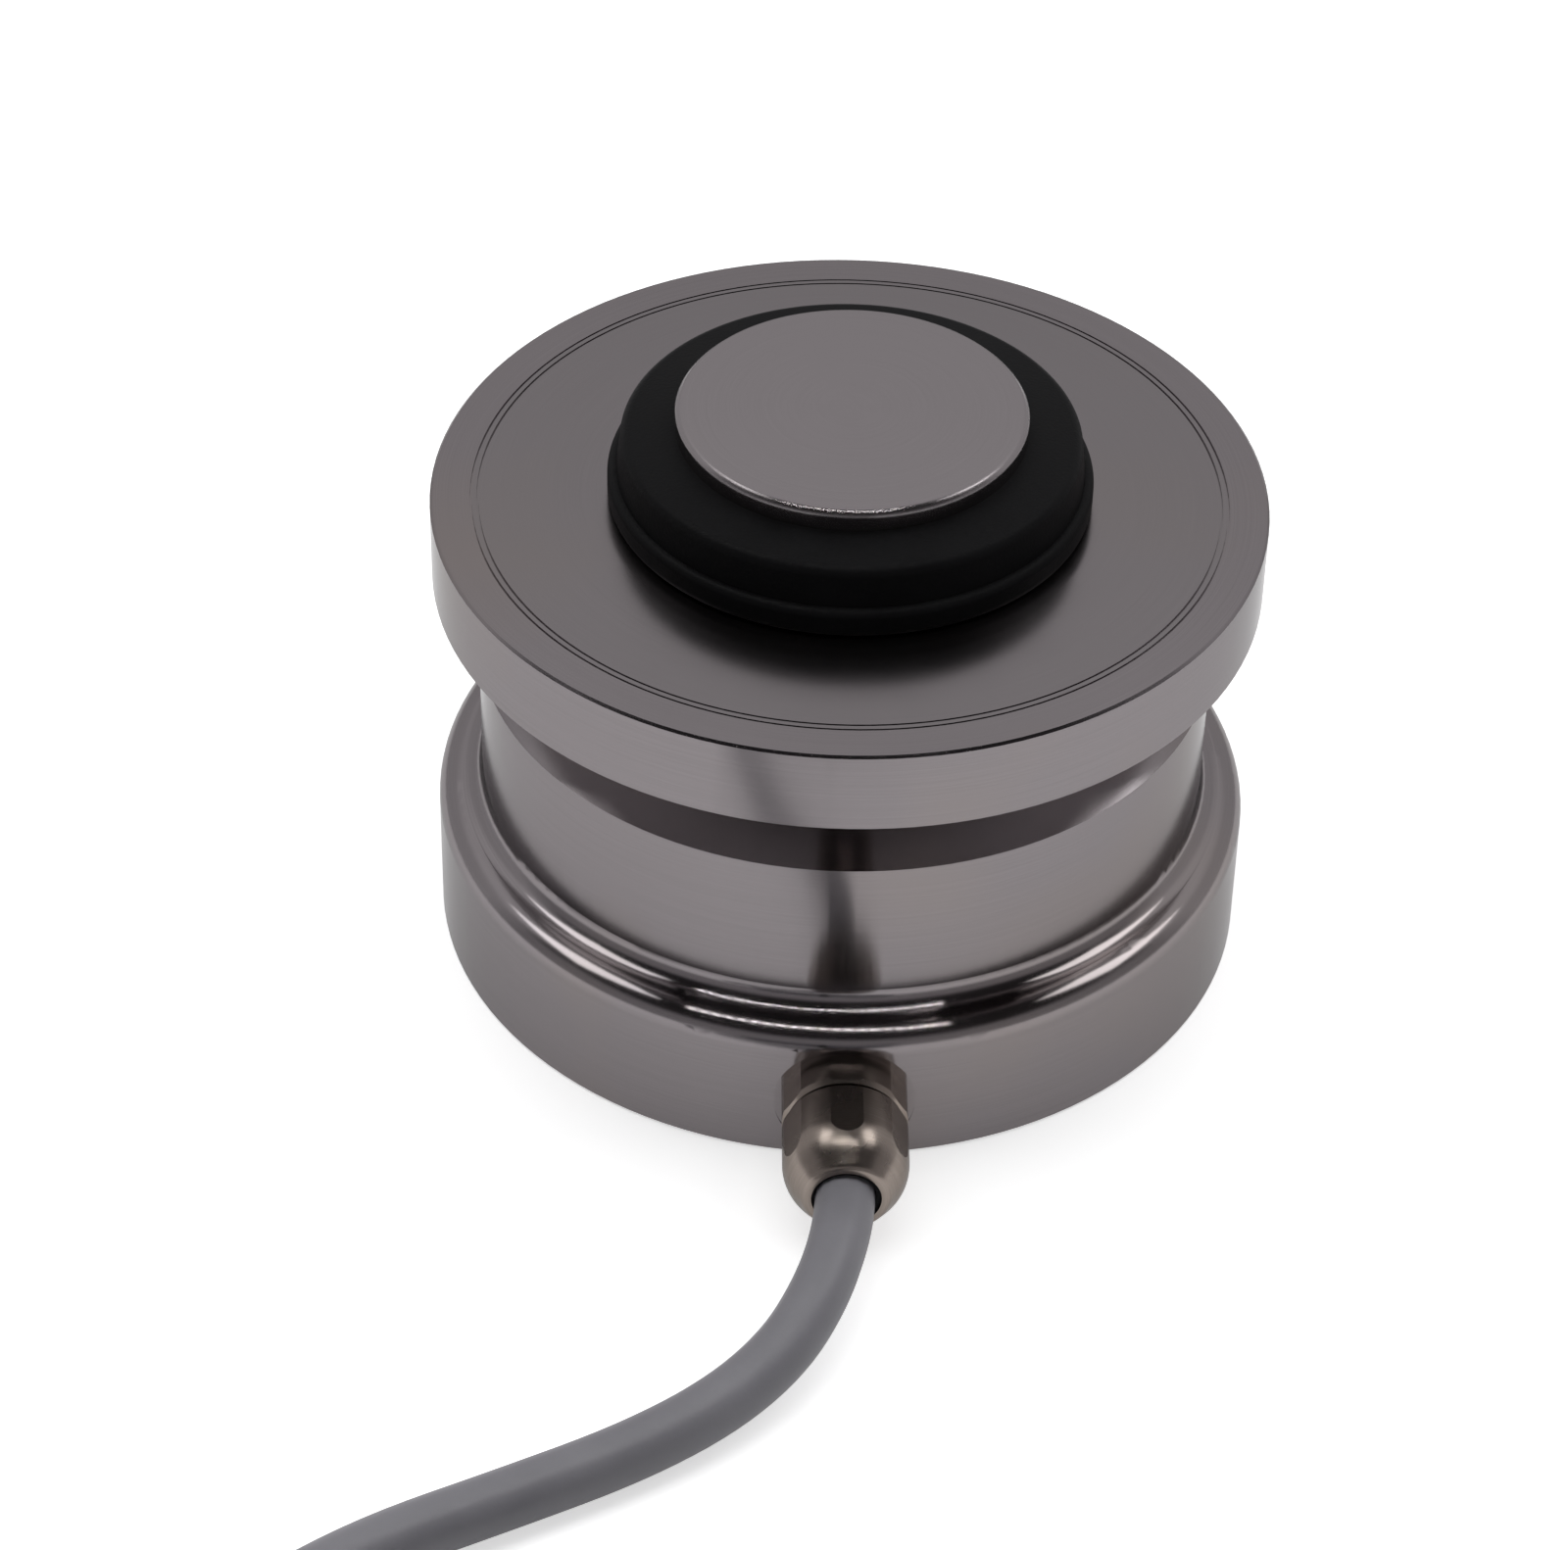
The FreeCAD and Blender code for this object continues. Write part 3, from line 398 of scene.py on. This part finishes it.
def coilTurns():
    # layers fill from the outside in, then from the inside out, each climb at the edge of a layer
    pitch = cable["turnPitch"]
    window = cable["windowEnd"] - cable["windowStart"]
    lastPlace = cable["turnsAcross"] - 1
    step = 360 / cable["pointsPerTurn"]
    outwards = 1 / math.cos(math.pi / cable["pointsPerTurn"])
    points = []
    turn = cable["startTurn"] + step
    while turn <= cable["endTurn"]:
        done = (turn - cable["windowStart"]) / 360
        passes = max(0, math.floor(done))
        within = (turn - cable["windowStart"]) - 360 * passes
        share = easeStep(min(1.0, max(0.0, within / window))) if done >= 0 else 0.0
        layer, place = divmod(passes, cable["turnsAcross"])
        climbing = place == lastPlace
        across = place if climbing else place + share
        inwards = across if layer % 2 == 0 else lastPlace - across
        level = layer + (share if climbing else 0)
        radius = cable["outerTurn"] - inwards * pitch
        if climbing:
            side = -1 if layer % 2 == 0 else 1
            radius += side * cable["bulge"] * math.sin(math.pi * share)
        points.append(coilPoint(turn, radius * outwards, cable["bottomTurn"] + level * pitch))
        turn += step
    return points


def tailPoints():
    top = cable["bottomTurn"] + cable["topLayer"] * cable["turnPitch"]
    return [coilPoint(turn, radius, top + lift) for turn, radius, lift in cable["tail"]]


def layCable():
    curve = bpy.data.curves.new("signalCable", "CURVE")
    curve.dimensions = "3D"
    curve.bevel_depth = cable["diameter"] / 2
    curve.bevel_resolution = cable["steps"]
    curve.resolution_u = cable["steps"]
    curve.use_fill_caps = True
    route = cable["lay"] + coilTurns() + tailPoints()
    spline = curve.splines.new("NURBS")
    spline.points.add(len(route) - 1)
    for point, place in zip(spline.points, route):
        point.co = (*place, 1)
    spline.order_u = cable["splineOrder"]
    spline.use_endpoint_u = True
    piece = bpy.data.objects.new("signalCable", curve)
    bpy.context.scene.collection.objects.link(piece)
    jacket = {**plastic, "grainDepth": cable["grainDepth"]}
    curve.materials.append(
        plainFinish("cableJacket", jacket, cable["dark"], cable["light"], cable["roughness"])
    )
    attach(piece, "root")
    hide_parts("cable_in_gland", "cable_lead", "cable_coil", "cable_tail")


layCable()
print("cable is laid and coiled")


# floor, room and lamps
studio = {
    "floorSize": 6.0,
    "floorColour": (0.80, 0.80, 0.80, 1),
    "floorGlow": 0.60,  # what the camera sees over the lamps' light
    "whiteReach": (0.5, 2.0),  # where that glow rises to full white
    "floorSheen": 0.30,  # what mirrors see over the lamps' light
    "paintedShadeReach": (0.16, 0.60),  # where the floor that mirrors see turns to its far tone, a painted shade that stands in for the lamps' light falling off
    # painted shade: a fixed grey that mirrors see on the far floor instead of the lit paper
    "farFloorPaintedShade": (0.50, 0.49, 0.50, 1),
    "wallLow": (0.57, 0.56, 0.57),
    "wallHigh": (0.76, 0.75, 0.76),
    "wallRise": (0.54, 0.68),  # the rises are ranges of the direction's Z
    "ceiling": (0.035, 0.034, 0.036),
    "ceilingRise": (0.74, 0.90),
    "frontLow": (0.34, 0.33, 0.34),
    "frontHigh": (0.030, 0.029, 0.030),
    "frontRise": (0.42, 0.62),
    "frontToBack": (0.0, 0.25),  # range of the direction's Y
    "lampTarget": (0, 0, 0.03),
}
lamps = [
    {"name": "leftBox", "from": (-0.85, 0.22, 1.35), "size": (0.75, 0.55), "power": 3.4},
    {"name": "rightBox", "from": (0.95, 0.25, 1.30), "size": (0.75, 0.55), "power": 3.4},
    {"name": "fillBox", "from": (0.0, 0.25, 1.50), "size": (1.2, 0.9), "power": 13.0, "glints": False},
    {"name": "lampBar", "from": (-0.0285, -0.165, 0.85), "size": (0.60, 0.026), "power": 1.1,
     "diffuse": False, "beads": 21, "lit": 0.22},
]


def beadLamp(data, beads, lit):
    # the bar is a row of small lamps: only the middle of each length is lit
    data.use_nodes = True
    along = addNode(data, "ShaderNodeNewGeometry").outputs["Parametric"]
    along = addNode(data, "ShaderNodeSeparateXYZ", {0: along}).outputs["X"]
    within = calculate(data, "FRACT", calculate(data, "MULTIPLY", along, beads))
    offCentre = calculate(data, "ABSOLUTE", calculate(data, "SUBTRACT", within, 0.5))
    glowing = calculate(data, "LESS_THAN", offCentre, lit)
    level = calculate(data, "MULTIPLY", glowing, 0.5 / lit)
    setInputs(data, data.node_tree.nodes["Emission"], {"Strength": level})


def addLamp(setting):
    data = bpy.data.lights.new(setting["name"], "AREA")
    data.shape = "RECTANGLE"
    data.size, data.size_y = setting["size"]
    data.energy = setting["power"]
    if "beads" in setting:
        beadLamp(data, setting["beads"], setting["lit"])
    lamp = bpy.data.objects.new(setting["name"], data)
    bpy.context.scene.collection.objects.link(lamp)
    aim = Vector(studio["lampTarget"]) - Vector(setting["from"])
    facing = aim.to_track_quat("-Z", "Y").to_matrix().to_4x4()
    lamp.matrix_world = Matrix.Translation(setting["from"]) @ facing
    lamp.visible_diffuse = setting.get("diffuse", True)
    lamp.visible_glossy = setting.get("glints", True)


def addFloor():
    # the camera and mirrors each see their own share of glow over the lit paper, and mirrors see the far
    # floor in painted shade
    mesh = bpy.data.meshes.new("floor")
    half = studio["floorSize"] / 2
    corners = [(-half, -half, 0), (half, -half, 0), (half, half, 0), (-half, half, 0)]
    mesh.from_pydata(corners, [], [(0, 1, 2, 3)])
    floor = bpy.data.objects.new("floor", mesh)
    bpy.context.scene.collection.objects.link(floor)
    mat = makeMaterial("paleFloor")
    mat.node_tree.nodes.clear()
    paths = addNode(mat, "ShaderNodeLightPath").outputs
    far = vectorMath(mat, "LENGTH", objectPlace(mat), result="Value")
    whiter = spread(mat, far, studio["floorGlow"], 1.0, *studio["whiteReach"])
    glow = calculate(mat, "MULTIPLY", paths["Is Camera Ray"], whiter)
    sheen = calculate(mat, "MULTIPLY", paths["Is Glossy Ray"], studio["floorSheen"])
    glow = calculate(mat, "ADD", glow, sheen)
    paper = addNode(mat, "ShaderNodeBsdfDiffuse", {"Color": studio["floorColour"]}).outputs[0]
    light = addNode(mat, "ShaderNodeEmission", {"Color": (1, 1, 1, 1), "Strength": glow}).outputs[0]
    near = addNode(mat, "ShaderNodeAddShader", {0: paper, 1: light}).outputs[0]
    # painted shade: past this reach, mirrors see the floor as a fixed darker grey instead of the lit paper
    # and its sheen
    paintedShadeShare = spread(mat, far, 0, 1, *studio["paintedShadeReach"])
    paintedShadeShare = calculate(mat, "MULTIPLY", paintedShadeShare, paths["Is Glossy Ray"])
    paintedFarShade = addNode(mat, "ShaderNodeEmission", {"Color": studio["farFloorPaintedShade"], "Strength": 1.0}).outputs[0]
    seen = addNode(mat, "ShaderNodeMixShader", {0: paintedShadeShare, 1: near, 2: paintedFarShade}).outputs[0]
    addNode(mat, "ShaderNodeOutputMaterial", {"Surface": seen})
    mesh.materials.append(mat)


def addRoom():
    # white for the camera; mirrors see a pale wall behind, a dark ceiling and a darker room in front
    world = bpy.data.worlds.new("greyRoom")
    bpy.context.scene.world = world
    world.use_nodes = True
    coords = addNode(world, "ShaderNodeTexCoord").outputs["Generated"]
    way = addNode(world, "ShaderNodeSeparateXYZ", {0: coords}).outputs
    wallShare = spread(world, way["Z"], 0, 1, *studio["wallRise"])
    ceilingShare = spread(world, way["Z"], 0, 1, *studio["ceilingRise"])
    frontShare = spread(world, way["Z"], 0, 1, *studio["frontRise"])
    backShare = spread(world, way["Y"], 0, 1, *studio["frontToBack"])
    wall = mixColours(world, wallShare, studio["wallLow"], studio["wallHigh"])
    back = mixColours(world, ceilingShare, wall, studio["ceiling"])
    front = mixColours(world, frontShare, studio["frontLow"], studio["frontHigh"])
    room = mixColours(world, backShare, front, back)
    cameraRay = addNode(world, "ShaderNodeLightPath").outputs["Is Camera Ray"]
    seen = mixColours(world, cameraRay, room, (1, 1, 1))
    setInputs(world, world.node_tree.nodes["Background"], {"Color": seen})


addFloor()
addRoom()
for lampSetting in lamps:
    addLamp(lampSetting)
bpy.context.scene.view_settings.view_transform = "Standard"
print("studio is lit")
